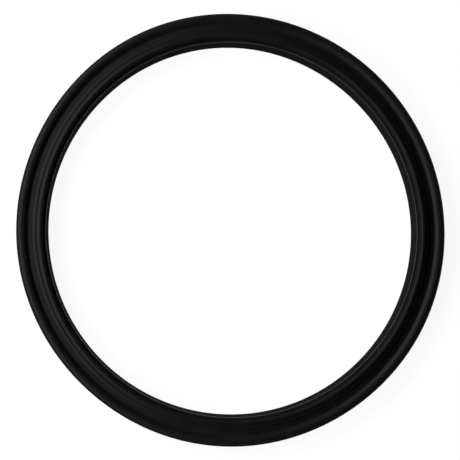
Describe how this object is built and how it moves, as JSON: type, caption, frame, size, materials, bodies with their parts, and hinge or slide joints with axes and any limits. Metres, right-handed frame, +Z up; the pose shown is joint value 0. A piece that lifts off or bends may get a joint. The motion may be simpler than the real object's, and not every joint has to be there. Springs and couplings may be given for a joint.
{
  "type": "pump seal ring",
  "caption": "Moulded rubber ring for sealing a round pump housing, with a raised ridge at the bore, a valley and a rounded bead along the outer edge.",
  "frame": {"origin": "centre of the ring on the plane of its flat underside", "axes": "+Z up along the ring's axis, from the flat underside towards the profiled face; the ring is the same all round, so +X and +Y are free"},
  "size_m": [0.17, 0.17, 0.0064],
  "materials": {
    "seal_rubber": "black moulded rubber, satin, with faint turned lines from the mould"
  },
  "bodies": {
    "root": {"seal_ring": "seal_rubber"}
  },
  "joints": []
}
